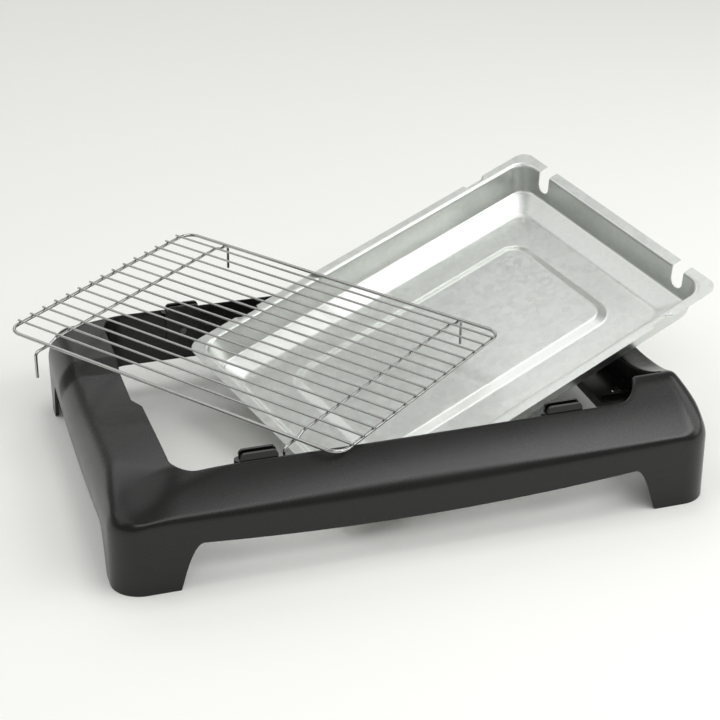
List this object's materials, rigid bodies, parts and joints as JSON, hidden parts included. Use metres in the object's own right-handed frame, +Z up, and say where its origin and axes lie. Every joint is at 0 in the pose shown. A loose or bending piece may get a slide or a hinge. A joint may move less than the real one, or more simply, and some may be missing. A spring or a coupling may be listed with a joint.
{
  "type": "electric grill with stand",
  "caption": "Electric table grill stand: a moulded ring on legs with a shelf for the control box, a pressed drip tray leaning in its opening and a welded wire rack laid askew on top.",
  "frame": {"origin": "middle of the stand's plan, on the plane of its feet", "axes": "+X along the front rail towards the control bay, +Y to the back rail, +Z up"},
  "size_m": [0.5943, 0.4282, 0.1774],
  "materials": {
    "stand_plastic": "black, finely textured heat-proof moulding",
    "fitting_plastic": "black, smoother than the stand",
    "screw_steel": "zinc-plated",
    "tray_sheet": "galvanised sheet with a soft spangle",
    "rack_chrome": "bright chrome wire"
  },
  "bodies": {
    "stand": {"stand_frame": "stand_plastic", "control_cradle": "fitting_plastic", "rack_rest_back_left": "fitting_plastic", "rack_rest_back_right": "fitting_plastic", "rack_rest_front_left": "fitting_plastic", "rack_rest_front_right": "fitting_plastic", "rest_screws": "screw_steel", "cradle_screws": "screw_steel"},
    "tray": {"drip_tray": "tray_sheet"},
    "rack": {"rack_rim": "rack_chrome", "rack_rod_01": "rack_chrome", "rack_rod_02": "rack_chrome", "rack_rod_03": "rack_chrome", "rack_rod_04": "rack_chrome", "rack_rod_05": "rack_chrome", "rack_rod_06": "rack_chrome", "rack_rod_07": "rack_chrome", "rack_rod_08": "rack_chrome", "rack_rod_09": "rack_chrome", "rack_rod_10": "rack_chrome", "rack_rod_11": "rack_chrome", "rack_rod_12": "rack_chrome", "rack_rod_13": "rack_chrome", "rack_rod_14": "rack_chrome", "rack_rod_15": "rack_chrome", "rack_leg_wire_left": "rack_chrome", "rack_leg_wire_right": "rack_chrome"}
  },
  "joints": [
    {"name": "tray_lift", "type": "slide", "parent": "stand", "child": "tray", "axis": [0, 0, 1], "range_m": [0, 0.12]},
    {"name": "rack_lift", "type": "slide", "parent": "tray", "child": "rack", "axis": [0, 0, 1], "range_m": [0, 0.12]}
  ]
}
